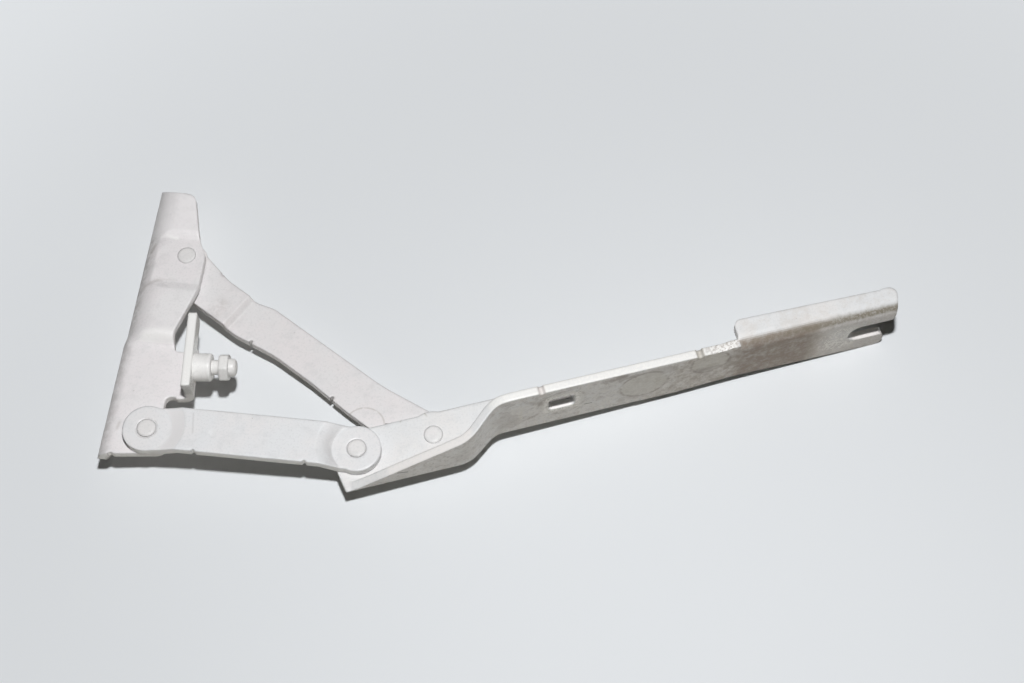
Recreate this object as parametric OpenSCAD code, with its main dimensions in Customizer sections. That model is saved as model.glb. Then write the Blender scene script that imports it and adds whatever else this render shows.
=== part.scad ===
// Four-bar bonnet hinge of pressed and riveted steel sheet, opened.
// X points away from the foot's face, Y runs along the foot, Z is the direction of the pivots.
// The origin is the middle of the foot's two bolts, on the face that meets the car body.

/* [Sheet metal] */
// Thickness of every pressed sheet
sheet_t = 4.5; // [3.5:0.5:5.5]
// Inside radius of the stop tab's and the top flange's folds
fold_r = 2.5; // [1.5:0.5:4]
// Radius of the small tooling notches in the cut edges
notch_r = 1; // [0.5:0.1:1.5]

/* [Linkage] */
// Distance between the two pivots on the body bracket
body_pivots = 104; // [98:1:115]
// Distance between the pivots of the lower link
lower_pivots = 109; // [100:1:125]
// Distance between the two pivots on the bonnet arm
arm_pivots = 40; // [34:1:48]
// Angle of the opened bonnet arm to the lower link
arm_angle = 20.5; // [14:0.5:26]
// Gap between two sheets that turn on each other
pivot_gap = 1; // [0.8:0.1:1.6]
// Play between a turning piece and the face beside it
side_play = 0.1; // [0.05:0.05:0.2]
// Radial play of a shank in its bush
shank_play = 0.04; // [0.02:0.01:0.08]

/* [Rivets and bushes] */
// Diameter of the rivet shanks
shank_d = 8; // [7:0.5:9]
// Wall of the bushes
bush_wall = 1; // [0.8:0.1:1.4]
// Diameter of the flange between the sheets
bush_flange_d = 18; // [15:1:20]
// Height of the low buttons on the side that shows
button_h = 0.7; // [0.4:0.1:1.2]
// Diameter of the rivet heads on the back
head_d = 16; // [13:1:18]
// Height of the rivet heads on the back
head_h = 3.2; // [2.4:0.2:4]
// Diameter of the flush tail under the lower body pivot
flush_d = 12; // [10.5:0.5:13]

/* [Body bracket] */
// Distance from the foot's face to the body pivots
foot_to_pivot = 25.4; // [24.5:0.1:29]
// Inside radius of the foot's fold beside the lower pivot
foot_fold_r = 3.5; // [2.5:0.5:5]
// Inside radius of the foot's fold beside the upper pivot
foot_fold_high_r = 12.5; // [8:0.5:14]
// Depth of the foot below the lower part of the web
foot_depth = 26; // [24:1:32]
// Distance from the lower body pivot to the middle of the bolts
bolts_from_pivot = 62; // [56:1:68]
// Distance between the two body bolts
bolt_spacing = 80; // [60:1:90]
// Diameter of the body bolt holes
bolt_d = 9; // [8.4:0.1:10]
// Depth of the bolts below the lower part of the web
bolt_drop = 15; // [14:0.5:16]
// Length of the bracket beyond the lower pivot
bracket_tail = 14.5; // [13.5:0.5:20]
// Length of the bracket beyond the upper pivot
bracket_nose = 38; // [28:1:42]
// Width of the web beyond the pivots, at the upper pivot
web_edge = 10; // [8:0.5:12]
// Step up of the upper part of the web
web_step = 5; // [4:0.5:6]
// Distance from the lower pivot to the start of that step
web_step_at = 49.4; // [47:0.2:54]
// Length of that step along the foot
web_step_run = 7; // [6:0.5:9]
// Depth of the pressed seat at the upper pivot
seat_press = 2; // [1:0.5:2.5]
// Reach of that seat from the pivot towards the lower pivot
seat_low = 17; // [12:0.5:19]
// Reach of that seat from the pivot away from the lower pivot
seat_high = 10; // [10:0.5:14]
// Run of the slopes around the seat
seat_run = 5; // [3:0.5:7]

/* [Stop] */
// Distance from the body pivots to the outer face of the stop tab
tab_reach = 18.8; // [17.5:0.1:21]
// Distance of the stop screw from the lower pivot along the foot
tab_at = 35.1; // [34:0.1:38]
// Turn of the tab away from the foot's direction
tab_angle = 5.5; // [0:0.5:8]
// Height of the tab above the lower part of the web
tab_h = 17; // [16:0.5:20]
// Reach of the tab's root towards the lower pivot
tab_root_low = 14; // [12.6:0.2:16]
// Reach of the tab's root towards the upper pivot
tab_root_high = 12.4; // [10:0.2:13]
// Reach of the tab's free part towards the upper pivot
tab_flag = 28; // [24:0.2:30]
// Height of the stop screw above the lower part of the web
stop_h = 9; // [8.4:0.1:9.4]
// Diameter of the threaded collar
collar_d = 14.6; // [13:0.2:15.6]
// Length of the threaded collar
collar_l = 9.4; // [8:0.2:13]
// Diameter of the stop screw's thread
thread_d = 7.8; // [6:0.2:9]
// Free thread between the collar and the hexagon
stop_free = 4; // [3:0.5:6]
// Width across the flats of the hexagon
hex_af = 13; // [11:0.5:14]
// Length of the hexagon
hex_l = 4.8; // [3.5:0.1:6]
// Diameter of the stop screw's rounded tip
tip_d = 9.4; // [8:0.2:10.5]
// Length of the tip
tip_l = 3.8; // [3:0.1:5]

/* [Links] */
// Diameter of the lower link's round pads
pad_d = 25; // [23:0.5:26]
// Width of the lower link between its pads
lower_w = 23.4; // [18:0.2:23.4]
// Rise of the lower link between its pads
lower_rise = 4; // [3:0.5:6]
// Length of the slope from a pad up to that rise
lower_ramp = 7.5; // [4:0.5:10]
// Diameter of the eye at the upper link's body end
upper_eye_d = 21; // [20:0.5:24]
// Diameter of the eye at the upper link's arm end
upper_arm_eye_d = 25; // [22:0.5:27]
// Offset of the upper link's convex edge from the line of its pivots, near the body
upper_belly = 17.6; // [16:0.2:19]
// Offset of the same edge near the arm
upper_far_belly = 15.8; // [15:0.2:17]
// Offset of the same edge at its waist
upper_waist = 14.2; // [13:0.2:15]
// Offset of the upper link's other edge
upper_back = 7; // [6:0.2:9]
// Step of the upper link down to the arm
upper_step = 3; // [2.4:0.1:4]
// Distance from the body pivot to that step
upper_step_at = 41; // [38:0.5:42]

/* [Bonnet arm] */
// Distance from the lower arm pivot to the far end of the arm
arm_l = 283.6; // [270:0.2:300]
// Inside radius of the fold between the ear and the wall
arm_fold_r = 1.5; // [1:0.5:3]
// Height of the wall above the ear where its edge has risen
wall_h = 37.5; // [35:0.1:39]
// Height of the wall above the ear at the top flange
wall_far_h = 36.3; // [34:0.1:38]
// Height of the top flange above the ear
top_flange_h = 38.9; // [38:0.1:42]
// Distance from the pivots to the wall's outer face at the ear
wall_out = 20.1; // [19:0.1:22]
// Sideways jog of the wall towards the pivot line
jog = 11.9; // [10:0.1:13]
// Start of the jog, from the lower arm pivot
jog_at = 49; // [46:0.5:54]
// Slope of the jog's straight part, as rise over run
jog_slope = 0.75; // [0.65:0.05:0.85]
// Inside radius of the jog's bends
jog_r = 14; // [12:0.5:18]
// Distance from the lower arm pivot to the ear's square end
ear_back = 12.4; // [11:0.2:14]
// Width of the ear beyond the pivots
ear_edge = 12; // [11:0.5:14]
// Start of the wall's rising edge, behind the lower arm pivot
rise_back = 7.5; // [5:0.5:10]
// Distance from the lower arm pivot to the wall's full height
rise_end = 76; // [72:1:84]
// End of the flange along the wall's lower edge
flange_end = 158; // [150:1:165]
// Height of the wall's lower edge under the start of the top flange, above the ear
tail_low = 3.3; // [2:0.2:5]
// Height of the same edge at the arm's end
tail_end_low = 0.6; // [0:0.2:3]
// Distance by which the wall is shorter below the open slot
end_slant = 2.4; // [1:0.2:4]
// Start of the top flange
top_flange_at = 199.2; // [196:0.2:210]
// Width of the top flange at its start, from the wall's outer face
top_flange_root_w = 14.5; // [13.5:0.1:17]
// Width of the top flange at its far end, from the wall's outer face
top_flange_w = 12.8; // [12:0.1:15]
// Reach of the top flange beyond the wall's end, at its free edge
top_flange_over = 3.4; // [1:0.2:5]
// Distance from the lower arm pivot to the closed bolt hole
hole_at = 105.9; // [95:0.1:130]
// Height of the closed bolt hole's middle above the ear
hole_z = 21; // [19:0.2:22]
// Length of the closed bolt hole along the arm
hole_l = 14; // [12:0.2:18]
// Width of the closed bolt hole across the arm
hole_w = 12; // [10:0.2:14]
// Height of the open slot's middle above the ear
slot_z = 19.4; // [18:0.2:21]
// Width of the slot that is open at the arm's end
slot_w = 14.4; // [11:0.2:15]
// Depth of that slot
slot_l = 23.8; // [18:0.2:30]

/* [Hidden] */
$fn = 64;
arc_step = 7.5;
// Overshoot of a cut beyond the face that it leaves
over = 1;
// Thickness of a section between two lofted lengths
hair = 0.01;

primer = [0.86, 0.84, 0.82];
stop_primer = [0.82, 0.81, 0.80];
bronze = [0.62, 0.52, 0.36];

fold_out = fold_r + sheet_t;
web_left = -foot_to_pivot;
bush_r = shank_d / 2 + bush_wall;
bore_r = shank_d / 2 + shank_play;
// The arm's second pivot and the upper link, in the opened state
arm_pivot = [lower_pivots + arm_pivots * cos(arm_angle), arm_pivots * sin(arm_angle)];
upper_run = arm_pivot - [0, body_pivots];
upper_l = norm(upper_run);
upper_dir = atan2(upper_run[1], upper_run[0]);
// Heights above the lower part of the web
seat_top = web_step - seat_press;
upper_top = seat_top - sheet_t - pivot_gap;
pad_top = pivot_gap + sheet_t;

function unit(v) = v / norm(v);
function point_on(c, r, a) = c + r * [cos(a), sin(a)];
function arc(c, r, from, to) =
    let (n = max(1, ceil(abs(to - from) / arc_step)))
    [for (i = [0 : n]) point_on(c, r, from + (to - from) * i / n)];
function turn(from, to) = let (d = to - from) d > 180 ? d - 360 : d < -180 ? d + 360 : d;
function corner(before, at, after, r) =
    let (
        u = unit(before - at),
        w = unit(after - at),
        half = acos(max(-1, min(1, u * w))) / 2,
        centre = at + unit(u + w) * r / sin(half),
        first = at + u * r / tan(half) - centre,
        last = at + w * r / tan(half) - centre,
        a = atan2(first[1], first[0])
    )
    arc(centre, r, a, a + turn(a, atan2(last[1], last[0])));
// An outline from corners given as [x, y, radius]
function outline(corners) =
    let (n = len(corners))
    [for (i = [0 : n - 1])
        let (
            c = corners[i],
            b = corners[(i + n - 1) % n],
            d = corners[(i + 1) % n]
        )
        each c[2] > 0
            ? corner([b[0], b[1]], [c[0], c[1]], [d[0], d[1]], c[2])
            : [[c[0], c[1]]]];

module slab(low, high) {
    translate([0, 0, low])
        linear_extrude(high - low)
            children();
}

// Children are drawn in (x, z) and run along Y
module along_y(from, to) {
    translate([0, to, 0])
        rotate([90, 0, 0])
            linear_extrude(to - from)
                children();
}

// Children are drawn in (y, z) and run along X
module along_x(from, to) {
    translate([from, 0, 0])
        rotate([90, 0, 90])
            linear_extrude(to - from)
                children();
}

// Everything is drawn from the lower body pivot, on the lower part of the web
module at_lower_body() {
    translate([foot_to_pivot, -bolts_from_pivot, bolt_drop])
        children();
}

module at_upper_body() {
    at_lower_body()
        translate([0, body_pivots, 0])
            children();
}

module at_upper_link() {
    at_upper_body()
        rotate([0, 0, upper_dir])
            children();
}

module at_arm() {
    at_lower_body()
        translate([lower_pivots, 0, 0])
            rotate([0, 0, arm_angle])
                children();
}

module at_stop() {
    at_lower_body()
        translate([tab_reach, tab_at, 0])
            rotate([0, 0, tab_angle])
                children();
}

module at_stop_axis() {
    at_stop()
        translate([0, 0, stop_h])
            rotate([0, 90, 0])
                children();
}

module bore(at, r, low, high) {
    translate([at[0], at[1], low - over])
        cylinder(r = r, h = high - low + 2 * over);
}

// Body bracket: a web with a foot folded down along its left edge and a tab folded up on its right

web_right = tab_reach + 2 * fold_out;
foot_low = -foot_depth;
bracket_low = -bracket_tail;
bracket_high = body_pivots + bracket_nose;
foot_fold_out = foot_fold_r + sheet_t;
foot_fold_high_out = foot_fold_high_r + sheet_t;

// The web's top face along the foot, as [y, z, outside radius of the fold]: an S-shaped step
step_ease = 0.15;
step_line = [for (share = [[0, 0], [0.25, step_ease], [0.75, 1 - step_ease], [1, 1]])
    [
        web_step_at + web_step_run * share[0],
        web_step * share[1],
        foot_fold_out + (foot_fold_high_out - foot_fold_out) * share[1]
    ]];
function slope(from, to) = atan2(to[1] - from[1], to[0] - from[0]);
// The same line on the sheet's lower face
function lower_face(line, t) =
    let (n = len(line))
    [for (i = [0 : n - 1])
        let (
            before = i > 0 ? slope(line[i - 1], line[i]) : 0,
            after = i < n - 1 ? slope(line[i], line[i + 1]) : 0,
            mid = (before + after) / 2,
            reach = t / cos((after - before) / 2)
        )
        [line[i][0] + reach * sin(mid), line[i][1] - reach * cos(mid), line[i][2] - t]];

// Section of the web and the foot under a face at height top, whose fold has the radius r
module fold_section(left, top, r) {
    polygon(concat(
        [[left, foot_low - sheet_t]],
        arc([left + r, top - r], r, 180, 90),
        [[web_right, top], [web_right, foot_low - sheet_t]]
    ));
}

module fold_run(left, line) {
    first = line[0];
    last = line[len(line) - 1];
    along_y(bracket_low - over, first[0])
        fold_section(left, first[1], first[2]);
    for (i = [1 : len(line) - 1])
        hull() {
            along_y(line[i - 1][0], line[i - 1][0] + hair)
                fold_section(left, line[i - 1][1], line[i - 1][2]);
            along_y(line[i][0], line[i][0] + hair)
                fold_section(left, line[i][1], line[i][2]);
        }
    along_y(last[0], bracket_high + nose_lean + over)
        fold_section(left, last[1], last[2]);
}

// Space above the pressed seat, or with grow the outside of the sheet under it
module seat_space(grow) {
    floor_z = seat_top - grow;
    bevel = grow * tan(atan2(seat_press, seat_run) / 2);
    reach = (web_step - floor_z) * seat_run / seat_press;
    low = body_pivots - seat_low - bevel;
    high = body_pivots + seat_high + bevel;
    along_x(web_left, web_right)
        polygon([
            [low, floor_z],
            [high, floor_z],
            [high + reach, web_step],
            [low - reach, web_step]
        ]);
}

// Plan of the web, with the slot beside the tab and the notch under it
module web_plan() {
    slot_x = 2.2;
    slot_r = 2;
    slot_rise = 8;
    notch_x = 4.8;
    notch_low = 13;
    tail_x = 10;
    tail_rise = 4;
    tail_side = 13.5;
    tail_side_at = 2;
    nose_in = 5;
    nose_at = 11;
    tip_x = -2;
    tip_drop = 1;
    flat_x = web_left + foot_fold_high_out;
    root_low = tab_at - tab_root_low;
    root_high = tab_at + tab_root_high;
    root_x = tab_reach - fold_out;
    polygon(outline([
        [web_left, bracket_low, 0],
        [tail_x, bracket_low + tail_rise, 7],
        [tail_side, tail_side_at, 9],
        [notch_x, notch_low, 2],
        [notch_x, root_low, 3],
        [root_x + slot_r, root_low, 0],
        [root_x, root_high, 0],
        [slot_x + slot_r, root_high, slot_r],
        [slot_x, root_high + slot_rise, 12],
        [web_edge, body_pivots - 2 * nose_at, 14],
        [web_edge, body_pivots + nose_in / 5, 8],
        [web_edge - nose_in, body_pivots + nose_at, 12],
        [tip_x, bracket_high - tip_drop, 5],
        [flat_x, bracket_high, 0],
        [flat_x, bracket_high + nose_lean + over, 0],
        [web_left, bracket_high + nose_lean + over, 0]
    ]));
}

// Side view of the foot, with its slanted ends
foot_end_z = -8;
// How far the foot's upper end leans out beyond the web
nose_lean = (web_step - foot_end_z) / 2;
module foot_plan() {
    end_run = 14;
    end_z = foot_end_z;
    polygon(outline([
        [bracket_low, web_step + over, 0],
        [bracket_low, end_z, 8],
        [bracket_low + end_run, foot_low, 8],
        [bracket_high + nose_lean - end_run, foot_low, 8],
        [bracket_high + nose_lean, end_z, 5],
        [bracket_high - over / 2, web_step + over, 0]
    ]));
}

module tab_section(root) {
    polygon(concat(
        [[root, -sheet_t], [root, 0]],
        arc([-fold_out, fold_r], fold_r, -90, 0),
        [[-sheet_t, tab_h], [0, tab_h]],
        arc([-fold_out, fold_r], fold_out, 0, -90)
    ));
}

module stop_tab() {
    root_run = -fold_out - 3;
    top_r = 2;
    translate([tab_reach, tab_at, 0])
        rotate([0, 0, tab_angle])
            difference() {
                union() {
                    along_y(-tab_root_low, tab_root_high)
                        tab_section(root_run);
                    along_x(-sheet_t, 0)
                        polygon(outline([
                            [0, fold_out, 0],
                            [tab_flag, fold_out, top_r],
                            [tab_flag, tab_h, 0],
                            [0, tab_h, 0]
                        ]));
                }
                translate([-sheet_t - over, 0, stop_h])
                    rotate([0, 90, 0])
                        cylinder(d = collar_spigot_d, h = sheet_t + 2 * over);
            }
}

module body_bracket() {
    relief_r = 1.8;
    color(primer)
        at_lower_body()
            difference() {
                union() {
                    intersection() {
                        difference() {
                            fold_run(web_left, step_line);
                            difference() {
                                fold_run(web_left + sheet_t, lower_face(step_line, sheet_t));
                                seat_space(sheet_t);
                            }
                            seat_space(0);
                        }
                        slab(foot_low - over, web_step + over)
                            web_plan();
                        along_x(web_left - over, web_right)
                            foot_plan();
                    }
                    stop_tab();
                }
                bore([0, 0], shank_d / 2, -sheet_t, 0);
                translate([0, 0, -sheet_t])
                    flush_tail();
                bore([0, body_pivots], shank_d / 2, seat_top - sheet_t, seat_top);
                bore([web_left + foot_fold_out, bracket_low], relief_r, -foot_fold_out, 0);
                for (side = [-1, 1])
                    translate([web_left - over, bolts_from_pivot + side * bolt_spacing / 2, -bolt_drop])
                        rotate([0, 90, 0])
                            cylinder(d = bolt_d, h = sheet_t + 2 * over);
            }
}

// Stop: a threaded collar pressed into the tab, and the screw that the arm's wall comes to rest on

collar_spigot_d = collar_d - 4;
thread_play = 0.05;

module stop_collar() {
    edge = 0.8;
    hole = thread_d / 2 + thread_play;
    color(stop_primer)
        at_stop_axis()
            rotate_extrude()
                polygon([
                    [hole, -sheet_t],
                    [collar_spigot_d / 2, -sheet_t],
                    [collar_spigot_d / 2, 0],
                    [collar_d / 2, 0],
                    [collar_d / 2, collar_l - edge],
                    [collar_d / 2 - edge, collar_l],
                    [hole, collar_l]
                ]);
}

module stop_screw() {
    hex_at = collar_l + stop_free;
    tip_at = hex_at + hex_l;
    tip_r = tip_d / 2;
    round_r = 2;
    end_bevel = 0.8;
    bevel = 0.7;
    hex_r = hex_af / 2 / cos(30);
    color(stop_primer)
        at_stop_axis() {
            rotate_extrude()
                polygon(concat(
                    [
                        [0, -sheet_t],
                        [thread_d / 2 - end_bevel, -sheet_t],
                        [thread_d / 2, -sheet_t + end_bevel],
                        [thread_d / 2, tip_at - over],
                        [tip_r, tip_at - over]
                    ],
                    arc([tip_r - round_r, tip_at + tip_l - round_r], round_r, 0, 90),
                    [[0, tip_at + tip_l]]
                ));
            intersection() {
                translate([0, 0, hex_at])
                    rotate([0, 0, 30])
                        cylinder(r = hex_r, h = hex_l, $fn = 6);
                rotate_extrude()
                    polygon([
                        [0, hex_at],
                        [hex_r - bevel, hex_at],
                        [hex_r, hex_at + bevel],
                        [hex_r, tip_at - bevel],
                        [hex_r - bevel, tip_at],
                        [0, tip_at]
                    ]);
            }
        }
}

// Links

lower_slope = atan2(lower_rise, lower_ramp);
// Radius of the crease around a pad, on the face that lies grow below the top one
function pad_crease(grow) = pad_d / 2 + pad_margin + grow * tan(lower_slope / 2);
pad_margin = 0.6;

// The slope that leads from a pad up to the raised body
module pad_cone(at, low, grow) {
    translate([at, 0, low])
        cylinder(r1 = pad_crease(grow), r2 = pad_crease(grow) + lower_ramp, h = lower_rise);
}

module lower_plan() {
    for (at = [0, lower_pivots])
        translate([at, 0])
            circle(d = pad_d);
    translate([0, -lower_w / 2])
        square([lower_pivots, lower_w]);
}

module lower_link() {
    dimple_at = [35, -1.5];
    dimple_r = 2.2;
    dimple_depth = 0.5;
    notches = [27, lower_pivots - 25];
    color(primer)
        at_lower_body()
            difference() {
                slab(pivot_gap, pad_top + lower_rise)
                    lower_plan();
                for (at = [0, lower_pivots])
                    pad_cone(at, pad_top, 0);
                difference() {
                    slab(pivot_gap - over, pivot_gap + lower_rise)
                        translate([0, -pad_d])
                            square([lower_pivots, 2 * pad_d]);
                    for (at = [0, lower_pivots]) {
                        pad_cone(at, pivot_gap, sheet_t);
                        bore([at, 0], pad_crease(sheet_t), pivot_gap - over, pivot_gap);
                    }
                }
                for (at = [0, lower_pivots])
                    bore([at, 0], bush_r, pivot_gap, pad_top);
                for (at = notches)
                    bore([at, -lower_w / 2], notch_r, pivot_gap, pad_top + lower_rise);
                translate([dimple_at[0], dimple_at[1], pad_top + lower_rise - dimple_depth])
                    cylinder(r1 = dimple_r / 2, r2 = dimple_r, h = dimple_depth + hair);
            }
}

// Stations of the upper link's wavy edges, along the line of its pivots
belly_from = 13;
belly_to = 50;
waist_from = 74;
waist_to = upper_l - 72;
far_belly_from = upper_l - 46;
far_belly_to = upper_l - 26;
back_from = upper_l - 40;
back_to = 56;
dip_from = 46;
dip_to = 26;
dip = 3;

module upper_plan() {
    eye_r = upper_eye_d / 2;
    far_r = upper_arm_eye_d / 2;
    inset = 0.4;
    circle(r = eye_r);
    translate([upper_l, 0])
        circle(r = far_r);
    polygon(outline([
        [0, inset - eye_r, 0],
        [belly_from, -upper_belly, 9],
        [belly_to, -upper_belly, 25],
        [waist_from, -upper_waist, 40],
        [waist_to, -upper_waist, 40],
        [far_belly_from, -upper_far_belly, 30],
        [far_belly_to, -upper_far_belly, 25],
        [upper_l, inset - far_r, 0],
        [upper_l, far_r - inset, 0],
        [back_from, upper_back, 60],
        [back_to, upper_back, 12],
        [dip_from, upper_back - dip, 14],
        [dip_to, upper_back - dip, 20],
        [eye_r / 2, eye_r - eye_r / 5, 0],
        [0, eye_r - inset, 0]
    ]));
}

// Side view of the upper link, with its step down towards the arm
module upper_side() {
    low = upper_top - sheet_t;
    shift = sheet_t * tan(22.5);
    last = upper_l + upper_arm_eye_d;
    polygon([
        [-upper_eye_d, upper_top],
        [upper_step_at, upper_top],
        [upper_step_at + upper_step, upper_top - upper_step],
        [last, upper_top - upper_step],
        [last, low - upper_step],
        [upper_step_at + upper_step - shift, low - upper_step],
        [upper_step_at - shift, low],
        [-upper_eye_d, low]
    ]);
}

upper_arm_top = upper_top - upper_step;

module upper_link() {
    bite = 1.3;
    notches = [
        [back_to + 3, 2 * notch_r - upper_belly],
        [far_belly_from - 11, (bite - upper_waist - upper_far_belly) / 2],
        [upper_eye_d, upper_back - bite]
    ];
    color(primer)
        at_upper_link()
            difference() {
                intersection() {
                    slab(upper_arm_top - sheet_t - over, upper_top + over)
                        upper_plan();
                    along_y(-2 * upper_belly, 2 * upper_belly)
                        upper_side();
                }
                for (at = [0, upper_l])
                    bore([at, 0], bush_r, upper_arm_top - sheet_t, upper_top);
                for (at = notches)
                    bore(at, notch_r, upper_arm_top - sheet_t, upper_top);
            }
}

// Bonnet arm: an ear with the two pivots, folded into a long wall that jogs and carries a top flange

wall_in = wall_out - jog;
arm_fold_out = arm_fold_r + sheet_t;
jog_angle = atan(jog_slope);
jog_first = jog_r + sheet_t;
jog_run = (jog - (jog_first + jog_r) * (1 - cos(jog_angle))) / sin(jog_angle);
// Ends of the jog's first bend, straight and second bend, on the wall's outer face
jog_a = [jog_at + jog_first * sin(jog_angle), -wall_out + jog_first * (1 - cos(jog_angle))];
jog_b = jog_a + jog_run * [cos(jog_angle), sin(jog_angle)];
jog_c = jog_b + jog_r * [sin(jog_angle), 1 - cos(jog_angle)];
// How far the ear and the folded strip overlap each other
seam = arm_fold_out + 3.5;
lip = arm_fold_out + 6;
top_bend = top_flange_h - fold_out;

// Section of the wall folded into the ear, from the outer face inwards
module wall_section() {
    polygon(concat(
        [[lip, 0], [lip, -sheet_t]],
        arc([arm_fold_out, arm_fold_r], arm_fold_out, -90, -180),
        [[0, wall_h], [sheet_t, wall_h]],
        arc([arm_fold_out, arm_fold_r], arm_fold_r, 180, 270)
    ));
}

// Section of the bare wall between two heights
module plain_section(low, high) {
    translate([0, low])
        square([sheet_t, high - low]);
}

module top_section() {
    centre = [fold_out, top_bend];
    polygon(concat(
        [[sheet_t, top_bend - over], [0, top_bend - over]],
        arc(centre, fold_out, 180, 90),
        [[top_flange_root_w, top_flange_h], [top_flange_root_w, top_flange_h - sheet_t]],
        arc(centre, fold_r, 90, 180)
    ));
}

// One bend of the jog: a section turned around a centre, from one direction through the jog's angle
module jog_bend(centre, from) {
    reach = 100;
    translate([centre[0], centre[1], 0])
        intersection() {
            rotate_extrude()
                children();
            slab(-sheet_t - over, wall_h + over)
                polygon([[0, 0], point_on([0, 0], reach, from), point_on([0, 0], reach, from + jog_angle)]);
        }
}

module wall_run() {
    translate([0, -wall_out, 0])
        along_x(-ear_back, jog_at)
            wall_section();
    jog_bend([jog_at, -wall_out + jog_first], -90)
        translate([jog_first, 0])
            mirror([1, 0])
                wall_section();
    translate([jog_a[0], jog_a[1], 0])
        rotate([0, 0, jog_angle])
            along_x(0, jog_run)
                wall_section();
    jog_bend([jog_c[0], jog_c[1] - jog_r], 90)
        translate([jog_r, 0])
            wall_section();
    translate([0, -wall_in, 0]) {
        along_x(jog_c[0], flange_end)
            wall_section();
        along_x(flange_end - lip, top_flange_at)
            plain_section(arm_fold_r, wall_h);
        along_x(flange_end - lip, arm_l)
            plain_section(0, top_bend);
    }
}

// Length over which the wall's edge rises to the top flange
root_run = 8;

// The top flange narrows towards the end, where its free corner stands out a little
module top_flange() {
    root_free = top_flange_root_w - wall_in;
    far_free = top_flange_w - wall_in;
    free_r = 4;
    root_r = 5;
    root_lip = 1.5 - wall_in;
    corner_l = 5;
    corner_out = 0.4;
    intersection() {
        translate([0, -wall_in, 0])
            along_x(top_flange_at - root_run, arm_l + top_flange_over)
                top_section();
        slab(0, top_flange_h + over)
            polygon(outline([
                [top_flange_at - root_run, -wall_in - over, 0],
                [arm_l, -wall_in - over, 0],
                [arm_l, -wall_in, 0],
                [arm_l + top_flange_over, far_free, free_r],
                [arm_l - corner_l, far_free, 0],
                [arm_l - corner_l - corner_out, far_free - corner_out, 0],
                [top_flange_at, root_free, free_r],
                [top_flange_at, root_lip, root_r],
                [top_flange_at - root_run, root_lip, 0]
            ]));
    }
}

// Plan of the ear and of the flange that tapers off along the wall
module ear_plan() {
    taper = 45;
    eye_out = 1.2;
    polygon(outline([
        [-ear_back, seam - wall_out, 0],
        [jog_at, seam - wall_out, 0],
        [jog_c[0], seam - wall_in, 0],
        [flange_end, seam - wall_in, 0],
        [flange_end, lip + over - wall_in, 0],
        [flange_end - taper, ear_edge, 20],
        [-ear_back, ear_edge, min(ear_back, ear_edge)]
    ]));
    translate([arm_pivots, 0])
        circle(r = ear_edge + eye_out);
}

// Side view of the arm, with the rising edge, the root of the top flange and the slot open at the end
module arm_side() {
    relief = 10;
    end_r = 4;
    slot_r = 0.49 * slot_w;
    slot_end = arm_l - slot_l;
    far = arm_l + top_flange_over;
    polygon(outline([
        [-ear_back, -sheet_t, 0],
        [flange_end, -sheet_t, 0],
        [flange_end + relief, 0, 14],
        [top_flange_at, tail_low, 12],
        [arm_l - end_slant, tail_end_low, end_r],
        [arm_l - end_slant, slot_z - slot_w / 2, end_r],
        [slot_end, slot_z - slot_w / 2, slot_r],
        [slot_end, slot_z + slot_w / 2, slot_r],
        [arm_l, slot_z + slot_w / 2, 1.5],
        [arm_l, top_bend, 0],
        [far, top_bend, 0],
        [far, top_flange_h, 0],
        [top_flange_at, top_flange_h, 0],
        [top_flange_at - root_run, wall_far_h, root_run],
        [rise_end, wall_h, 25],
        [-rise_back, 0, 0],
        [-ear_back, 0, 0]
    ]));
}

// The closed hole for a bonnet bolt, square with rounded corners
module bonnet_hole() {
    corner_r = 2.5;
    along_y(-wall_in - over, -wall_in + sheet_t + over)
        translate([hole_at, hole_z])
            polygon(outline([for (at = [[-1, -1], [1, -1], [1, 1], [-1, 1]])
                [at[0] * hole_l / 2, at[1] * hole_w / 2, corner_r]]));
}

// The ear's end is cut back towards the fold
module ear_end_cut() {
    cut_back = 2.6;
    slab(-sheet_t - over, wall_h)
        polygon([
            [-ear_back - over, -wall_out / 3],
            [-ear_back, -wall_out / 3],
            [cut_back - ear_back, -wall_out - over],
            [-ear_back - over, -wall_out - over]
        ]);
}

module bonnet_arm() {
    notches = [[hole_at - 0.75 * hole_l, wall_h], [top_flange_at - 1.5 * hole_l, wall_far_h]];
    color(primer)
        at_arm()
            difference() {
                union() {
                    intersection() {
                        union() {
                            wall_run();
                            top_flange();
                        }
                        along_y(-wall_out - over, lip)
                            arm_side();
                    }
                    slab(-sheet_t, 0)
                        ear_plan();
                }
                bonnet_hole();
                ear_end_cut();
                for (at = [0, arm_pivots])
                    bore([at, 0], shank_d / 2, -sheet_t, 0);
                for (at = notches)
                    translate([at[0], -wall_in - over, at[1]])
                        rotate([-90, 0, 0])
                            cylinder(r = 1.5 * notch_r, h = sheet_t + 2 * over);
            }
}

// Rivets and bushes

// Countersunk tail that ends flush, so that the upper link passes under it
module flush_tail() {
    depth = (flush_d - shank_d) / 2;
    cylinder(d1 = flush_d, d2 = shank_d, h = depth);
}

// Shank from low to high with a low button above it
module button_rivet(low, high) {
    r = bush_r;
    edge = button_h * 0.6;
    rotate_extrude()
        polygon([
            [0, low],
            [shank_d / 2, low],
            [shank_d / 2, high],
            [r, high],
            [r, high + button_h - edge],
            [r - edge, high + button_h],
            [0, high + button_h]
        ]);
}

// Domed head under a sheet whose lower face is at top
module back_head(top) {
    r = head_d / 2;
    edge = head_h * 0.55;
    rotate_extrude()
        polygon(concat(
            [[0, top], [r, top]],
            arc([r - edge, top - head_h + edge], edge, 0, -90),
            [[0, top - head_h]]
        ));
}

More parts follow.
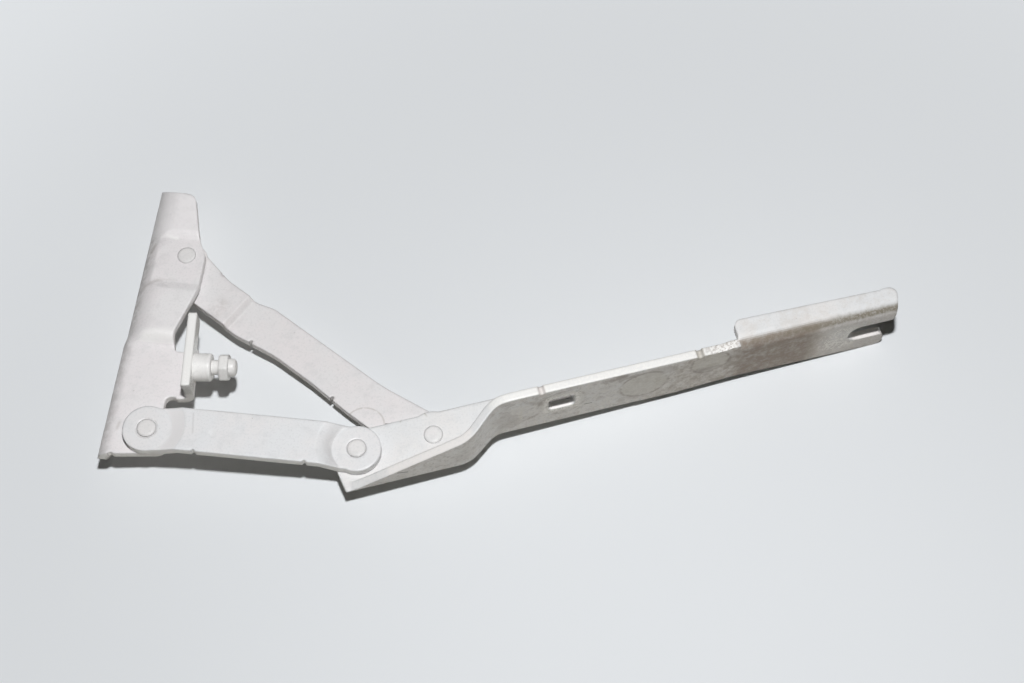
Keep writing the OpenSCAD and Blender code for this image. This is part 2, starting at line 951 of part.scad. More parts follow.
// Sleeve through a sheet from low to high, with a flange on one side of it
module flanged_bush(low, high, flange_low, flange_high) {
    difference() {
        union() {
            translate([0, 0, low])
                cylinder(r = bush_r, h = high - low);
            translate([0, 0, flange_low])
                cylinder(d = bush_flange_d, h = flange_high - flange_low);
        }
        translate([0, 0, low - 2 * over])
            cylinder(r = bore_r, h = high - low + 4 * over);
    }
}

module rivet_lower_body() {
    color(primer)
        at_lower_body() {
            button_rivet(-sheet_t, pad_top + side_play);
            translate([0, 0, -sheet_t])
                flush_tail();
        }
}

module rivet_upper_body() {
    color(primer)
        at_upper_body() {
            button_rivet(upper_top - sheet_t - side_play - over, seat_top);
            back_head(upper_top - sheet_t - side_play);
        }
}

module rivet_lower_arm() {
    color(primer)
        at_arm() {
            button_rivet(-sheet_t - over, pad_top + side_play);
            back_head(-sheet_t);
        }
}

// The pivot where the closed linkage is opened: its rivet is parted under the ear
module rivet_upper_arm_head() {
    color(primer)
        at_arm()
            translate([arm_pivots, 0, 0])
                button_rivet(-sheet_t, 0);
}

parting = 0.3;

module rivet_upper_arm_tail() {
    low = upper_arm_top - sheet_t;
    color(primer)
        at_upper_link()
            translate([upper_l, 0, 0]) {
                translate([0, 0, low - over])
                    cylinder(d = shank_d, h = -sheet_t - parting - low + over);
                back_head(low);
            }
}

module bush_lower_body() {
    color(bronze)
        at_lower_body()
            flanged_bush(side_play, pad_top, side_play, pivot_gap);
}

module bush_lower_arm() {
    color(bronze)
        at_arm()
            flanged_bush(side_play, pad_top, side_play, pivot_gap);
}

module bush_upper_body() {
    high = upper_top + pivot_gap - side_play;
    color(bronze)
        at_upper_link()
            flanged_bush(upper_top - sheet_t, high, upper_top, high);
}

module bush_upper_arm() {
    high = -sheet_t - parting;
    color(bronze)
        at_upper_link()
            translate([upper_l, 0, 0])
                flanged_bush(upper_arm_top - sheet_t, high, upper_arm_top, high);
}

body_bracket();
stop_collar();
stop_screw();
lower_link();
upper_link();
bonnet_arm();
rivet_lower_body();
rivet_upper_body();
rivet_lower_arm();
rivet_upper_arm_head();
rivet_upper_arm_tail();
bush_lower_body();
bush_upper_body();
bush_lower_arm();
bush_upper_arm();
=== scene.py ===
import math

import bpy
from mathutils import Matrix, Vector

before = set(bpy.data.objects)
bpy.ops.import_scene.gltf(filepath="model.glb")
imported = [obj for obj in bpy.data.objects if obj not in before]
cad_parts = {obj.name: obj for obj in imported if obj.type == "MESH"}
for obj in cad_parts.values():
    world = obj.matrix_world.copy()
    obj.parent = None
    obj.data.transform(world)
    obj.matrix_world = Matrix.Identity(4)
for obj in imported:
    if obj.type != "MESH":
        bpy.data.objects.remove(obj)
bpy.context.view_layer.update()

scene = bpy.context.scene
scene.view_settings.view_transform = "Standard"

# Camera: the photograph's place, worked out from the pivots and the known heights of the part
TURN = math.radians(5.952)
TILT = math.radians(26.8)
ALONG = Vector((math.cos(TURN), math.sin(TURN), 0))
AWAY = Vector((-math.sin(TURN), math.cos(TURN), 0))
UP = Vector((0, 0, 1))
cam_forward = AWAY * math.sin(TILT) - UP * math.cos(TILT)
cam_up = AWAY * math.cos(TILT) + UP * math.sin(TILT)
cam_place = Vector((0.24637, -0.37142, 0.77370))

camera_data = bpy.data.cameras.new("camera")
camera_data.sensor_width = 36
camera_data.lens = 56.25
camera = bpy.data.objects.new("camera", camera_data)
scene.collection.objects.link(camera)
camera.matrix_world = Matrix((
    (ALONG.x, cam_up.x, -cam_forward.x, cam_place.x),
    (ALONG.y, cam_up.y, -cam_forward.y, cam_place.y),
    (ALONG.z, cam_up.z, -cam_forward.z, cam_place.z),
    (0, 0, 0, 1),
))
scene.camera = camera

# Places on the part, in millimetres: the lower link's pivots in the part's frame, the hole in the arm's frame
PIVOT_A = (25.4, -62.0)
PIVOT_C = (134.4, -62.0)
HOLE = (105.9, 21.0)
HOLE_HALF = (7.0, 6.0)
# The arm's frame: its origin in metres and its turn
ARM_ORIGIN = (0.1344, -0.062, 0.015)
ARM_TURN = math.radians(20.5)

# Finish: the press's rounding of edges and the paint's relief in metres, and the colour painted on
# front-facing cut edges as a highlight
EDGE_ROUND = 0.0020
RELIEF = 0.00012
CUT_EDGE_HIGHLIGHT = (0.93, 0.925, 0.91)


class Graph:
    """A material or a world, and the few kinds of node that its colours, gloss and relief are made of"""

    def __init__(self, name, made=None):
        self.material = made or bpy.data.materials.new(name)
        self.material.use_nodes = True
        self.tree = self.material.node_tree
        self.shader = self.tree.nodes["Background" if made else "Principled BSDF"]

    def put(self, value, socket):
        if isinstance(value, bpy.types.NodeSocket):
            self.tree.links.new(value, socket)
        elif isinstance(value, tuple) and len(value) == 3 and socket.type == "RGBA":
            socket.default_value = (*value, 1)
        else:
            socket.default_value = value

    def node(self, kind, inputs, **settings):
        made = self.tree.nodes.new(kind)
        for name, value in settings.items():
            setattr(made, name, value)
        for name, value in inputs.items():
            self.put(value, made.inputs[name])
        return made

    def math(self, operation, *values):
        return self.node("ShaderNodeMath", dict(enumerate(values)), operation=operation).outputs[0]

    def times(self, *values):
        result = values[0]
        for value in values[1:]:
            result = self.math("MULTIPLY", result, value)
        return result

    def ramp(self, value, start, end, low=0.0, high=1.0):
        return self.node(
            "ShaderNodeMapRange",
            {"Value": value, "From Min": start, "From Max": end, "To Min": low, "To Max": high},
            interpolation_type="SMOOTHSTEP").outputs[0]

    def band(self, value, low, high, soft):
        return self.times(
            self.ramp(value, low - soft, low + soft), self.ramp(value, high + soft, high - soft))

    def mix(self, mask, first, second, blend="MIX"):
        made = self.node("ShaderNodeMix", {0: mask}, data_type="RGBA", blend_type=blend)
        self.put(first, made.inputs[6])
        self.put(second, made.inputs[7])
        return made.outputs[2]

    def noise(self, place, scale, detail=2.0, roughness=0.55):
        return self.node(
            "ShaderNodeTexNoise",
            {"Vector": place, "Scale": scale, "Detail": detail, "Roughness": roughness}).outputs[0]

    def cells(self, place, scale):
        return self.node("ShaderNodeTexVoronoi", {"Vector": place, "Scale": scale}).outputs[0]

    def seen(self):
        """One where the camera, a reflection or glass looks at the surface, nought for light that it sheds"""
        rays = self.node("ShaderNodeLightPath", {}).outputs
        return self.math("MAXIMUM", rays["Is Camera Ray"], self.math(
            "MAXIMUM", rays["Is Glossy Ray"], rays["Is Transmission Ray"]))

    def frame(self, origin, turn):
        """Coordinates in millimetres from a point of the part, and the surface's direction"""
        coords = self.node("ShaderNodeTexCoord", {})
        place = self.node(
            "ShaderNodeMapping",
            {"Vector": coords.outputs["Object"], "Location": origin, "Rotation": (0, 0, turn),
             "Scale": (0.001, 0.001, 0.001)}, vector_type="TEXTURE").outputs[0]
        split = self.node("ShaderNodeSeparateXYZ", {0: place})
        return place, split.outputs, coords.outputs["Normal"]

    def facing(self, normal, direction):
        made = self.node("ShaderNodeVectorMath", {0: normal, 1: direction}, operation="DOT_PRODUCT")
        return made.outputs["Value"]

    def away(self, x, y, centre, stretch=1.0):
        """Distance from a point, with the second direction drawn out"""
        first = self.math("SUBTRACT", x, centre[0])
        second = self.math("DIVIDE", self.math("SUBTRACT", y, centre[1]), stretch)
        squares = self.math("ADD", self.times(first, first), self.times(second, second))
        return self.math("SQRT", squares)


def stroke(graph, x, y, start, end, half, soft):
    """Mask of a straight mark from start to end"""
    run = Vector(end) - Vector(start)
    way = run.normalized()
    middle = (Vector(start) + Vector(end)) / 2
    first = graph.math("SUBTRACT", x, middle.x)
    second = graph.math("SUBTRACT", y, middle.y)
    along = graph.math("ADD", graph.times(first, way.x), graph.times(second, way.y))
    across = graph.math("SUBTRACT", graph.times(second, way.x), graph.times(first, way.y))
    return graph.times(
        graph.ramp(graph.math("ABSOLUTE", along), run.length / 2 + soft, run.length / 2 - soft),
        graph.ramp(graph.math("ABSOLUTE", across), half + soft, half - soft))


def primer(name, tint, warm, origin=(0, 0, 0), turn=0.0, gloss=0.33, rubbed=0.55, marks=None):
    """Sprayed primer on pressed steel: clouded, grained, worn along its edges and lightened there, partly as
    a painted highlight
    """
    graph = Graph(name)
    place, xyz, normal = graph.frame(origin, turn)
    clouds = graph.noise(place, 0.035, 3.0, 0.6)
    blotches = graph.noise(place, 0.13, 4.0, 0.65)
    mottle = graph.noise(place, 0.9, 3.0, 0.6)
    grain = graph.noise(place, 4.5, 2.0, 0.6)

    colour = graph.mix(graph.ramp(clouds, 0.36, 0.64), tint, warm)
    shade = tuple(part * 0.86 for part in tint)
    colour = graph.mix(graph.times(graph.ramp(blotches, 0.48, 0.72), 0.55), colour, shade)
    shade = tuple(part * 0.84 for part in tint)
    colour = graph.mix(graph.times(graph.ramp(mottle, 0.48, 0.72), 0.55), colour, shade)
    light = tuple(min(part * 1.10, 1.0) for part in tint)
    colour = graph.mix(graph.times(graph.ramp(grain, 0.52, 0.75), 0.5), colour, light)

    # Specks of dust and pinholes
    specks = graph.times(
        graph.ramp(graph.cells(place, 0.16), 0.075, 0.03), graph.ramp(blotches, 0.48, 0.6))
    colour = graph.mix(graph.times(specks, 0.4), colour, (0.30, 0.27, 0.24))

    # Edges: rounded by the press, rubbed bright in places, which is also a painted highlight along the edges
    round_off = graph.node("ShaderNodeBevel", {"Radius": EDGE_ROUND}, samples=8).outputs[0]
    flat = graph.node("ShaderNodeNewGeometry", {}).outputs["Normal"]
    edge = graph.ramp(graph.facing(round_off, flat), 0.995, 0.90)
    rub_and_sheen = graph.times(edge, graph.ramp(graph.noise(place, 0.22, 4.0, 0.7), 0.40, 0.62))
    colour = graph.mix(graph.times(rub_and_sheen, rubbed), colour, tuple(min(part * 1.16, 1.0) for part in tint))
    worn = graph.times(edge, graph.ramp(graph.noise(place, 0.5, 4.0, 0.75), 0.60, 0.72))
    colour = graph.mix(graph.times(worn, 0.45), colour, (0.42, 0.39, 0.36))

    roughness = graph.ramp(graph.math("ADD", graph.times(mottle, 0.6), graph.times(clouds, 0.4)),
                           0.3, 0.7, gloss, gloss + 0.13)
    height = graph.math("ADD", graph.times(mottle, 0.6), graph.times(grain, 0.4))
    if marks:
        colour, roughness, height = marks(graph, place, xyz, normal, colour, roughness, height)

    graph.put(colour, graph.shader.inputs["Base Color"])
    graph.put(graph.math("SUBTRACT", roughness, graph.times(rub_and_sheen, 0.08)), graph.shader.inputs["Roughness"])
    bump = graph.node(
        "ShaderNodeBump", {"Strength": 0.35, "Distance": RELIEF, "Height": height, "Normal": round_off})
    graph.put(bump.outputs[0], graph.shader.inputs["Normal"])
    return graph.material


def arm_marks(graph, place, xyz, normal, colour, roughness, height):
    """Bonnet arm: grime, prints of washers and scratches on the wall's outer face, painted shade on that face
    and in the corner behind it, and a painted highlight along its top
    """
    a, b, z = xyz
    outer = graph.ramp(graph.facing(normal, (math.sin(ARM_TURN), -math.cos(ARM_TURN), 0)), 0.35, 0.75)
    top = graph.ramp(graph.facing(normal, (0, 0, 1)), 0.8, 0.95)
    in_wall = graph.ramp(b, -3.2, -4.0)
    drift = graph.noise(place, 0.12, 4.0, 0.65)
    wander = graph.noise(place, 0.30, 3.0, 0.6)
    flecks = graph.noise(place, 0.75, 3.0, 0.65)
    shift = graph.math("SUBTRACT", graph.times(wander, 5.0), 2.5)
    a_off = graph.math("ADD", a, shift)
    z_off = graph.math("ADD", z, graph.times(shift, 0.7))

    # A thin film over the whole wall, thicker in blots and browner towards the bonnet end: partly grime,
    # partly painted shade darkening the wall's outer face
    film_and_shade = graph.times(outer, graph.ramp(drift, 0.30, 0.70, 0.08, 0.60))
    colour = graph.mix(film_and_shade, colour, (0.53, 0.505, 0.48))
    tan = graph.times(
        outer, graph.ramp(a_off, 105.0, 195.0), graph.ramp(wander, 0.25, 0.65, 0.35, 1.0),
        graph.ramp(z_off, 38.0, 12.0, 0.55, 1.0), graph.ramp(a_off, 258.0, 240.0))
    colour = graph.mix(graph.times(tan, 0.65), colour, (0.36, 0.30, 0.235))
    dapple = graph.times(outer, graph.ramp(flecks, 0.50, 0.70))
    colour = graph.mix(graph.times(dapple, 0.42), colour, (0.35, 0.32, 0.29))
    rubbed = graph.times(outer, graph.ramp(flecks, 0.44, 0.30))
    colour = graph.mix(graph.times(rubbed, 0.35), colour, (0.72, 0.70, 0.67))

    mottle = graph.times(outer, graph.ramp(wander, 0.53, 0.66))
    colour = graph.mix(graph.times(mottle, 0.34), colour, (0.31, 0.28, 0.26))
    patches = graph.times(outer, graph.ramp(wander, 0.46, 0.36), graph.ramp(a_off, 200.0, 150.0))
    colour = graph.mix(graph.times(patches, 0.34), colour, (0.71, 0.69, 0.665))
    # Painted shade in the corner behind the wall, on the lower flange
    corner_painted_shade = graph.times(
        top, graph.ramp(z, 8.0, 6.0), graph.ramp(b, 8.0, 3.0), graph.ramp(b, -4.6, -3.9),
        graph.band(a_off, 84.0, 138.0, 12.0), graph.ramp(wander, 0.30, 0.55, 0.8, 1.0))
    colour = graph.mix(graph.times(corner_painted_shade, 0.92), colour, (0.085, 0.075, 0.065))

    # Tide marks of dried water
    tide = graph.noise(place, 0.07, 5.0, 0.6)
    line = graph.math(
        "MAXIMUM", graph.band(tide, 0.455, 0.475, 0.012), graph.band(tide, 0.555, 0.57, 0.010))
    line = graph.times(outer, line, graph.band(a, 74.0, 200.0, 6.0))
    colour = graph.mix(graph.times(line, 0.55), colour, (0.74, 0.72, 0.68))
    pool = graph.times(outer, graph.ramp(tide, 0.46, 0.40), graph.band(a, 70.0, 200.0, 8.0))
    colour = graph.mix(graph.times(pool, 0.35), colour, (0.38, 0.34, 0.31))

    # Brown grime between the top flange and the open slot
    brown = graph.times(
        outer, graph.band(a_off, 198.0, 241.0, 7.0), graph.ramp(wander, 0.25, 0.62, 0.55, 1.0))
    colour = graph.mix(graph.times(brown, 0.80), colour, (0.225, 0.17, 0.13))
    stain = graph.times(outer, graph.band(a_off, 162.0, 240.0, 9.0), graph.ramp(drift, 0.48, 0.64))
    colour = graph.mix(graph.times(stain, 0.6), colour, (0.28, 0.235, 0.19))
    # Olive grease along the bend of the top flange
    bend = graph.times(
        graph.ramp(a_off, 202.0, 240.0, 0.25, 1.0), graph.ramp(a, 198.0, 206.0),
        graph.band(graph.math("ADD", z, graph.times(shift, 0.15)), 34.9, 37.8, 0.9),
        graph.ramp(b, -2.2, -4.0), graph.ramp(flecks, 0.28, 0.60, 0.6, 1.0))
    bend = graph.times(bend, graph.ramp(a, 235.0, 268.0, 0.82, 0.96))
    colour = graph.mix(bend, colour, (0.21, 0.185, 0.14))
    # Grey film round the open slot
    veil = graph.times(
        graph.ramp(a_off, 244.0, 258.0), graph.ramp(b, -4.5, -6.5), graph.ramp(z_off, 36.0, 33.5),
        graph.math("MAXIMUM", graph.ramp(z_off, 24.0, 28.0), graph.ramp(z_off, 15.0, 11.0)),
        graph.ramp(flecks, 0.30, 0.62, 0.5, 1.0))
    colour = graph.mix(graph.times(veil, 0.65), colour, (0.47, 0.435, 0.41))
    # Dust on the top flange
    dust = graph.times(
        top, graph.ramp(a, 200.0, 206.0), graph.ramp(z, 36.0, 37.5), graph.ramp(drift, 0.42, 0.66))
    colour = graph.mix(graph.times(dust, 0.45), colour, (0.60, 0.56, 0.52))
    # Paler, rubbed patch before the slot
    pale = graph.times(
        outer, graph.ramp(graph.away(a_off, z_off, (256.0, 18.0), 1.0), 17.0, 8.0),
        graph.ramp(graph.math("ADD", graph.times(wander, 0.45), graph.times(flecks, 0.55)), 0.48, 0.53))
    colour = graph.mix(graph.times(pale, 0.85), colour, (0.84, 0.83, 0.80))

    # Prints of washers: a paler disc with a dark rim
    for centre, radius, disc, rim in (
            (HOLE, 12.5, 0.40, 0.45), ((149.5, 19.5), 13.0, 0.50, 0.75), ((184.0, 27.0), 10.5, 0.55, 0.75)):
        gap = graph.math("ADD", graph.away(a, z, centre), graph.times(shift, 0.35))
        inside = graph.times(outer, graph.ramp(gap, radius, radius - 2.0), disc)
        colour = graph.mix(inside, colour, (0.55, 0.53, 0.48))
        ring = graph.times(
            outer, graph.band(gap, radius - 0.8, radius + 0.5, 0.6), graph.ramp(drift, 0.36, 0.58), rim)
        colour = graph.mix(ring, colour, (0.25, 0.21, 0.18))
    # Bright, scuffed ring that a bolt head left at the closed hole
    beside, above = (
        graph.math("SUBTRACT", graph.math("ABSOLUTE", graph.math("SUBTRACT", value, centre)), half)
        for value, centre, half in zip((a, z), HOLE, HOLE_HALF))
    gap = graph.math("MAXIMUM", beside, above)
    scuff = graph.times(outer, graph.ramp(gap, 4.4, 1.4), graph.ramp(flecks, 0.40, 0.54))
    colour = graph.mix(graph.times(scuff, 0.80), colour, (0.90, 0.885, 0.865))
    # Smears and scratches
    for start, end, half, soft, depth in (
            ((126.5, 33.0), (140.0, 34.5), 2.2, 1.6, 0.75), ((136.0, 30.0), (146.0, 33.0), 1.0, 1.0, 0.45),
            ((176.0, 20.5), (190.0, 19.5), 1.8, 1.6, 0.7), ((84.5, 8.0), (84.5, 24.0), 0.9, 0.7, -0.5),
            ((88.0, 10.0), (94.0, 14.0), 0.8, 0.7, 0.4), ((88.0, 30.0), (97.0, 24.0), 1.6, 1.4, 0.35)):
        mark = graph.times(
            outer, stroke(graph, a_off, z_off, start, end, half, soft), graph.ramp(drift, 0.3, 0.55))
        target = (0.24, 0.195, 0.175) if depth > 0 else (0.68, 0.66, 0.61)
        colour = graph.mix(graph.times(mark, abs(depth)), colour, target)
    nicks = graph.math(
        "MAXIMUM", stroke(graph, a, z, (117.9, 12.4), (122.2, 12.1), 0.35, 0.2),
        stroke(graph, a, z, (16.9, 9.6), (22.4, 7.8), 0.35, 0.25))
    nicks = graph.times(outer, nicks)
    colour = graph.mix(graph.times(nicks, 0.9), colour, (0.05, 0.045, 0.04))
    height = graph.math("SUBTRACT", height, graph.times(nicks, 2.0))

    # Cut edges: bright and torn in the hole and the slot, a painted highlight along the wall's top, pitted
    # near its end
    torn = graph.times(top, in_wall, graph.band(z, 9.0, 29.0, 0.8))
    bare_and_highlight = graph.times(torn, graph.ramp(flecks, 0.30, 0.55, 0.55, 0.95))
    colour = graph.mix(bare_and_highlight, colour, (0.88, 0.85, 0.83))
    # The wall's top edge painted near white with flecks: a painted highlight
    crest = graph.times(top, in_wall, graph.ramp(z, 33.0, 35.0), graph.ramp(a, 199.5, 197.0))
    bare_and_highlight = graph.times(crest, graph.ramp(flecks, 0.34, 0.60, 0.85, 0.5))
    colour = graph.mix(bare_and_highlight, colour, (0.91, 0.90, 0.87))
    for low, high, tone in ((93.6, 97.2, (0.62, 0.575, 0.55)), (176.2, 180.4, (0.42, 0.395, 0.34))):
        groove = graph.times(in_wall, graph.ramp(z, 32.5, 34.0), graph.band(a, low, high, 0.4))
        colour = graph.mix(graph.times(groove, 0.7), colour, tone)
    pits = graph.times(crest, graph.ramp(a_off, 172.0, 190.0), graph.ramp(flecks, 0.46, 0.58))
    colour = graph.mix(graph.times(pits, 0.55), colour, (0.34, 0.29, 0.25))
    height = graph.math("SUBTRACT", height, graph.times(torn, flecks, 1.5))

    # Outline left by another part on the ear's top
    gap = graph.away(a, b, (32.0, 8.0), 1.25)
    leaf = graph.times(top, graph.band(gap, 7.0, 7.8, 0.4), graph.ramp(b, 10.0, 12.0))
    colour = graph.mix(graph.times(leaf, 0.55), colour, (0.46, 0.44, 0.40))

    roughness = graph.math("ADD", roughness, graph.times(graph.math("ADD", film_and_shade, brown), 0.12))
    return colour, roughness, height


def upper_marks(graph, place, xyz, normal, colour, roughness, height):
    """Upper link: rubbing prints of the ear, a painted shadow at the ear's corner, a smudge beside the step
    and painted shade over the step
    """
    x, y, _ = xyz
    top = graph.ramp(graph.facing(normal, (0, 0, 1)), 0.5, 0.9)
    wander = graph.noise(place, 0.25, 4.0, 0.65)
    gap = graph.away(x, y, (135.0, -43.5), 0.92)
    print_line = graph.times(
        top, graph.band(gap, 9.7, 10.5, 0.45), graph.ramp(y, -43.5, -41.5), graph.ramp(wander, 0.35, 0.5))
    colour = graph.mix(graph.times(print_line, 0.55), colour, (0.42, 0.39, 0.36))
    # A painted shadow of the gap at the ear's corner
    painted_gap_shadow = graph.times(top, stroke(graph, x, y, (145.5, -42.3), (149.3, -41.8), 0.35, 0.25))
    colour = graph.mix(graph.times(painted_gap_shadow, 0.85), colour, (0.13, 0.11, 0.10))
    smudge = graph.times(
        top, stroke(graph, x, y, (42.0, 5.5), (50.0, 20.0), 3.6, 3.0), graph.ramp(wander, 0.35, 0.62))
    colour = graph.mix(graph.times(smudge, 0.36), colour, (0.44, 0.41, 0.39))
    # Painted shade over the step's slope, evening its lighter shading with the neighbours
    step_painted_shade = graph.times(
        stroke(graph, x, y, (52.5, 3.0), (63.0, 22.0), 3.0, 2.4), graph.ramp(wander, 0.3, 0.6, 0.7, 1.0))
    colour = graph.mix(graph.times(step_painted_shade, 0.20), colour, (0.42, 0.39, 0.38))
    blot = graph.times(top, graph.ramp(graph.away(x, y, (46.4, 36.0)), 3.2, 1.2))
    colour = graph.mix(graph.times(blot, 0.45), colour, (0.36, 0.32, 0.33))
    return colour, roughness, height


def bracket_marks(graph, place, xyz, normal, colour, roughness, height):
    """Body bracket: grime and painted shade along the fold, painted shade in the creases, painted highlights
    at the seat and the step, on the front edges and on the tab
    """
    x, y, z = xyz
    wander = graph.noise(place, 0.22, 4.0, 0.65)
    shift = graph.math("SUBTRACT", graph.times(wander, 4.0), 2.0)
    y_off = graph.math("ADD", y, shift)
    # Grey along the fold, deepening towards its left edge: grime, and painted shade where the fold turns away
    fold_grime_and_shade = graph.times(
        graph.ramp(x, 9.0, 2.5), graph.ramp(z, -1.0, 7.0), graph.ramp(wander, 0.34, 0.62),
        graph.ramp(y_off, -30.0, 30.0, 0.45, 0.75))
    colour = graph.mix(fold_grime_and_shade, colour, (0.45, 0.43, 0.42))
    # Dark lines along the creases: painted shade
    for start, end, half, soft, depth in (
            ((5.0, 42.5), (6.8, 47.5), 0.9, 1.2, 0.5), ((5.0, 21.0), (14.0, 25.5), 0.8, 1.8, 0.45),
            ((13.0, 25.4), (23.0, 26.6), 0.5, 1.4, 0.2), ((8.5, -62.0), (9.4, -57.0), 0.7, 0.9, 0.35)):
        mark = stroke(graph, x, y_off, start, end, half, soft)
        colour = graph.mix(graph.times(mark, depth), colour, (0.33, 0.30, 0.27))
    # Painted highlights at the seat's upper edge and on the step
    painted_highlight = graph.math(
        "MAXIMUM", stroke(graph, x, y_off, (12.0, 53.2), (19.0, 52.2), 0.9, 0.9),
        stroke(graph, x, y_off, (11.0, -8.0), (28.0, -6.0), 2.2, 2.4))
    colour = graph.mix(graph.times(painted_highlight, 0.75), colour, (0.93, 0.92, 0.91))
    roughness = graph.math("SUBTRACT", roughness, graph.times(painted_highlight, 0.12))
    for start, end, half, soft, depth in (
            ((7.0, 46.0), (13.0, 52.0), 2.0, 2.5, 0.40), ((8.0, 34.0), (15.0, 41.0), 1.6, 2.5, 0.30),
            ((9.0, 21.0), (20.0, 23.5), 1.8, 2.5, 0.30)):
        mark = graph.times(stroke(graph, x, y_off, start, end, half, soft), graph.ramp(wander, 0.36, 0.60))
        colour = graph.mix(graph.times(mark, depth), colour, (0.46, 0.43, 0.44))
    upper_end = graph.times(graph.ramp(y_off, 50.0, 58.0), graph.ramp(wander, 0.3, 0.6, 0.4, 0.9))
    colour = graph.mix(upper_end, colour, (0.86, 0.84, 0.85))
    y_pit = graph.math("ADD", y, graph.times(shift, 0.6))
    pit = graph.ramp(graph.away(x, y_pit, (8.6, -76.4), 0.5), 3.4, 1.6)
    colour = graph.mix(graph.times(pit, 0.55), colour, (0.20, 0.17, 0.14))
    # Cut edges facing -Y painted bright: a painted highlight
    front_highlight = graph.ramp(graph.facing(normal, (0, -1, 0)), 0.55, 0.8)
    colour = graph.mix(graph.times(front_highlight, 0.65), colour, CUT_EDGE_HIGHLIGHT)
    # The tab painted paler and glossier: burnished edges, and partly a painted highlight
    tab_burnish_and_highlight = graph.times(graph.ramp(x, 35.0, 37.0), graph.ramp(z, 18.5, 21.0))
    colour = graph.mix(graph.times(tab_burnish_and_highlight, 0.8), colour, (0.90, 0.90, 0.88))
    roughness = graph.math("SUBTRACT", roughness, graph.times(tab_burnish_and_highlight, 0.16))
    return colour, roughness, height


def lower_marks(graph, place, xyz, normal, colour, roughness, height):
    """Lower link: rubbed ring of the washer face, painted shade along the crease of the ramp, painted
    highlights on the front edges and on the ramp by pad A, and a darker ramp by pad C
    """
    x, y, _ = xyz
    wander = graph.noise(place, 0.3, 3.0, 0.6)
    top = graph.ramp(graph.facing(normal, (0, 0, 1)), 0.5, 0.9)
    pad_gap = graph.away(x, y, PIVOT_A)
    ring = graph.times(top, graph.band(pad_gap, 5.2, 6.0, 0.4), graph.ramp(wander, 0.35, 0.6))
    colour = graph.mix(graph.times(ring, 0.35), colour, (0.42, 0.40, 0.38))
    gap = graph.away(x, y, PIVOT_C)
    # Darker towards pad C, on the ramp beside it
    pad_c_darkening = graph.times(
        top, graph.ramp(gap, 20.0, 13.2), graph.ramp(gap, 12.5, 13.1), graph.ramp(x, 131.0, 123.0),
        graph.ramp(wander, 0.25, 0.6, 0.5, 1.0))
    colour = graph.mix(graph.times(pad_c_darkening, 0.5), colour, (0.43, 0.42, 0.42))
    # Painted shade along the crease of the ramp
    crease = graph.times(top, stroke(graph, x, y, (48.8, -52.6), (50.6, -64.0), 0.4, 0.5))
    colour = graph.mix(graph.times(crease, 0.30), colour, (0.40, 0.39, 0.38))
    # Cut edges facing -Y painted bright: a painted highlight
    front_highlight = graph.ramp(graph.facing(normal, (0, -1, 0)), 0.55, 0.8)
    colour = graph.mix(graph.times(front_highlight, 0.65), colour, CUT_EDGE_HIGHLIGHT)
    # The ramp by pad A painted paler: painted light against its shading
    slope_painted_light = graph.times(graph.band(pad_gap, 13.2, 20.2, 0.5), graph.ramp(x, 27.0, 33.0))
    colour = graph.mix(graph.times(slope_painted_light, 0.8), colour, (0.89, 0.875, 0.88))
    dimple = graph.ramp(graph.away(x, y, (60.4, -63.5)), 3.2, 2.2)
    roughness = graph.math("ADD", roughness, graph.times(dimple, 0.35))
    return colour, roughness, height


def bushing(name):
    """Sintered bronze, dark with oil"""
    graph = Graph(name)
    place, _, _ = graph.frame((0, 0, 0), 0.0)
    pores = graph.noise(place, 5.0, 3.0, 0.65)
    patina = graph.noise(place, 0.6, 4.0, 0.6)
    colour = graph.mix(graph.ramp(patina, 0.35, 0.7), (0.50, 0.36, 0.19), (0.24, 0.18, 0.11))
    colour = graph.mix(graph.times(graph.ramp(pores, 0.58, 0.72), 0.6), colour, (0.10, 0.075, 0.05))
    graph.put(colour, graph.shader.inputs["Base Color"])
    graph.put(graph.ramp(patina, 0.3, 0.75, 0.32, 0.55), graph.shader.inputs["Roughness"])
    graph.shader.inputs["Metallic"].default_value = 0.9
    bump = graph.node("ShaderNodeBump", {"Strength": 0.4, "Distance": 0.0001, "Height": pores})
    graph.put(bump.outputs[0], graph.shader.inputs["Normal"])
    return graph.material


PALE = (0.76, 0.785, 0.81)
# One lamp above the camera and a faint fill from all round
FILL = (0.009, 0.0075, 0.004)
BOUNCE = (0.62, 0.60, 0.545)
TARGET = Vector((0.2066, 0.0098, 0.015))
LAMP_LEAN = math.radians(-16.5)
LAMP_REACH = 0.95
LAMP_SIDE = 0.02
LAMP = TARGET + Matrix.Rotation(LAMP_LEAN, 3, ALONG) @ -cam_forward * LAMP_REACH + ALONG * LAMP_SIDE
lamp_data = bpy.data.lights.new("lamp", "POINT")
lamp_data.shadow_soft_size = 0.030
lamp_data.energy = 34.2
lamp = bpy.data.objects.new("lamp", lamp_data)
scene.collection.objects.link(lamp)
lamp.location = LAMP

world = bpy.data.worlds.new("studio")
scene.world = world
room = Graph("studio", world)
room.put(room.mix(room.seen(), FILL, PALE), room.shader.inputs["Color"])

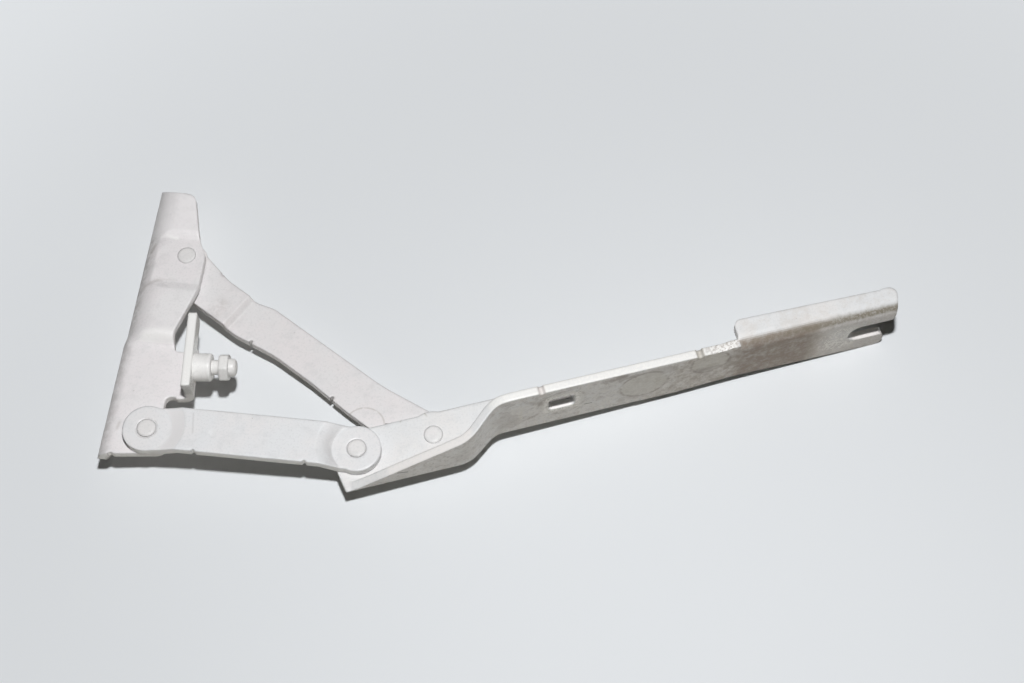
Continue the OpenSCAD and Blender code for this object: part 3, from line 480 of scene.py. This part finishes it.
# Floor: the part lies on the foot's edge and the arm's far corner, so the floor leans a little
FLOOR_LEAN = math.radians(3.896)
FLOOR_POINT = Vector((0.0045, 0, -0.011))
FLOOR_HALF = 3.0
floor_mesh = bpy.data.meshes.new("floor")
floor_mesh.from_pydata(
    [(FLOOR_HALF * i, FLOOR_HALF * j, 0) for i, j in ((-1, -1), (1, -1), (1, 1), (-1, 1))],
    [], [(0, 1, 2, 3)])
floor = bpy.data.objects.new("floor", floor_mesh)
scene.collection.objects.link(floor)
floor.matrix_world = Matrix.Translation(FLOOR_POINT) @ Matrix.Rotation(-FLOOR_LEAN, 4, "Y")
paper = Graph("floor")
seen = paper.seen()
paper.put(paper.mix(seen, BOUNCE, PALE), paper.shader.inputs["Base Color"])
paper.shader.inputs["Roughness"].default_value = 0.6
paper.shader.inputs["Specular IOR Level"].default_value = 0.0
# Far from the lamp, where its light fails, the floor stays as pale as near it
lamp_local = floor.matrix_world.inverted() @ LAMP
spot = paper.node("ShaderNodeTexCoord", {}).outputs["Object"]
gap = paper.node("ShaderNodeVectorMath", {0: spot, 1: lamp_local}, operation="DISTANCE").outputs["Value"]
missing = paper.math("SUBTRACT", 1.0, paper.math("POWER", paper.math("DIVIDE", lamp_local.z, gap), 3.0))
paper.shader.inputs["Emission Color"].default_value = (*PALE, 1)
glow = paper.times(seen, missing, paper.ramp(missing, 0.0, 0.45))
paper.put(glow, paper.shader.inputs["Emission Strength"])
floor.data.materials.append(paper.material)

GREY = (0.75, 0.75, 0.75)
GREY_WARM = (0.76, 0.74, 0.735)
# One finish for each painted piece; the rivets share one, and so do the bushes
finish = {
    "body_bracket": primer("primer_bracket", (0.785, 0.775, 0.78), (0.79, 0.76, 0.77), marks=bracket_marks),
    # The collar's paler tint is partly a painted highlight
    "stop_collar": primer("primer_collar_and_highlight", (0.88, 0.875, 0.865), (0.86, 0.85, 0.84), gloss=0.28),
    "stop_screw": primer("primer_screw", (0.80, 0.795, 0.785), (0.77, 0.76, 0.745), gloss=0.28),
    "lower_link": primer("primer_lower_link", (0.75, 0.76, 0.775), (0.765, 0.755, 0.76), marks=lower_marks),
    "upper_link": primer("primer_upper_link", (0.74, 0.73, 0.735), (0.755, 0.725, 0.73), rubbed=0.1,
                         marks=upper_marks),
    "bonnet_arm": primer("primer_arm", (0.74, 0.75, 0.76), (0.755, 0.745, 0.74), ARM_ORIGIN, ARM_TURN,
                         marks=arm_marks),
}
rivet = primer("primer_rivet", GREY, GREY_WARM, gloss=0.31)
bronze = bushing("bush_bronze")
for node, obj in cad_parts.items():
    obj.data.materials.clear()
    obj.data.materials.append(finish.get(node) or (bronze if node.startswith("bush") else rivet))
